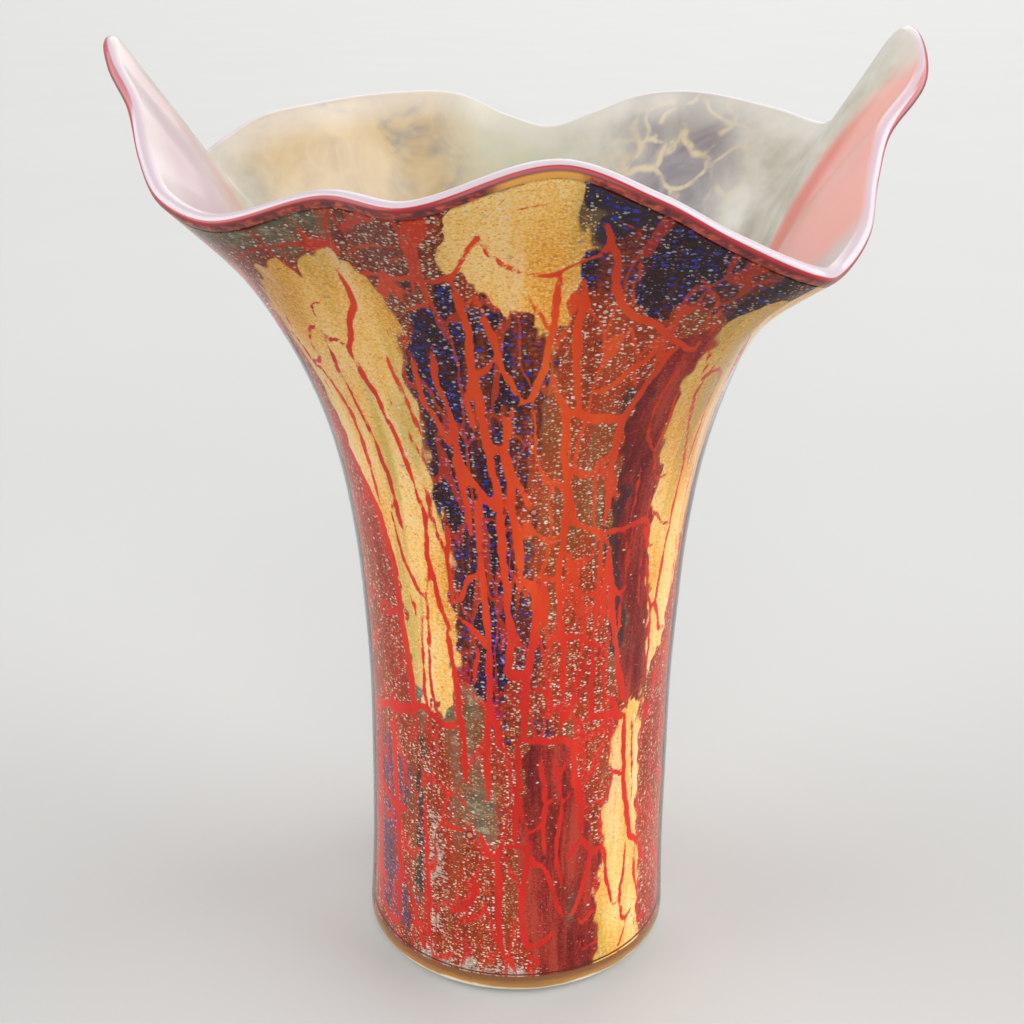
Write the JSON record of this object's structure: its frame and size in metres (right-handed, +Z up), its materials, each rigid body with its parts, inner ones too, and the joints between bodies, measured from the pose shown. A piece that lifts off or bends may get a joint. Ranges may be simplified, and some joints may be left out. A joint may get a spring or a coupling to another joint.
{
  "type": "art glass vase",
  "caption": "Hand blown cased glass vase: a cylinder flaring to a ruffled rim with tall side ears, crackled coloured shards over red glass, opal inside.",
  "frame": {"origin": "centre of the flat foot, on the surface that the vase stands on", "axes": "+Z up along the body to the mouth, -Y towards the front with the gold lobe, +X towards the right ear"},
  "size_m": [0.233, 0.1995, 0.2999],
  "materials": {
    "amber_clear_glass": "polished, slightly amber",
    "clear_glass": "fire polished, clear",
    "red_glass": "gloss",
    "opal_glass": "fire polished, creamy",
    "gold_glass": "gloss, fine grain",
    "cobalt_glass": "gloss, bright blue specks",
    "maroon_glass": "gloss",
    "green_glass": "gloss, streaked",
    "violet_glass": "gloss, speckled",
    "silver_leaf_glass": "gloss, metal leaf flecks over red"
  },
  "bodies": {
    "root": {"base_gather": "amber_clear_glass", "clear_casing": "clear_glass", "red_ground": "red_glass", "opal_lining": "opal_glass", "shard_violet_low_left": "violet_glass", "shard_silver_mid_left": "silver_leaf_glass", "shard_green_top_left": "green_glass", "shard_violet_low_front_left": "violet_glass", "shard_gold_column_left": "gold_glass", "shard_green_top_front_left": "green_glass", "shard_silver_low_front": "silver_leaf_glass", "shard_cobalt_column": "cobalt_glass", "shard_maroon_top_front": "maroon_glass", "shard_maroon_low_front": "maroon_glass", "shard_silver_mid_front": "silver_leaf_glass", "shard_gold_lobe": "gold_glass", "shard_gold_low_right": "gold_glass", "shard_maroon_mid_right": "maroon_glass", "shard_cobalt_lobe": "cobalt_glass", "shard_silver_low_right": "silver_leaf_glass", "shard_gold_column_right": "gold_glass", "shard_cobalt_top_right": "cobalt_glass", "shard_maroon_low_back_right": "maroon_glass", "shard_silver_ear_right": "silver_leaf_glass", "shard_gold_low_back_right": "gold_glass", "shard_cobalt_top_back_right": "cobalt_glass", "shard_silver_low_back": "silver_leaf_glass", "shard_maroon_mid_back": "maroon_glass", "shard_green_top_back": "green_glass", "shard_cobalt_low_back_left": "cobalt_glass", "shard_gold_top_back_left": "gold_glass", "shard_maroon_low_back_left": "maroon_glass", "shard_silver_ear_left": "silver_leaf_glass"}
  },
  "joints": []
}
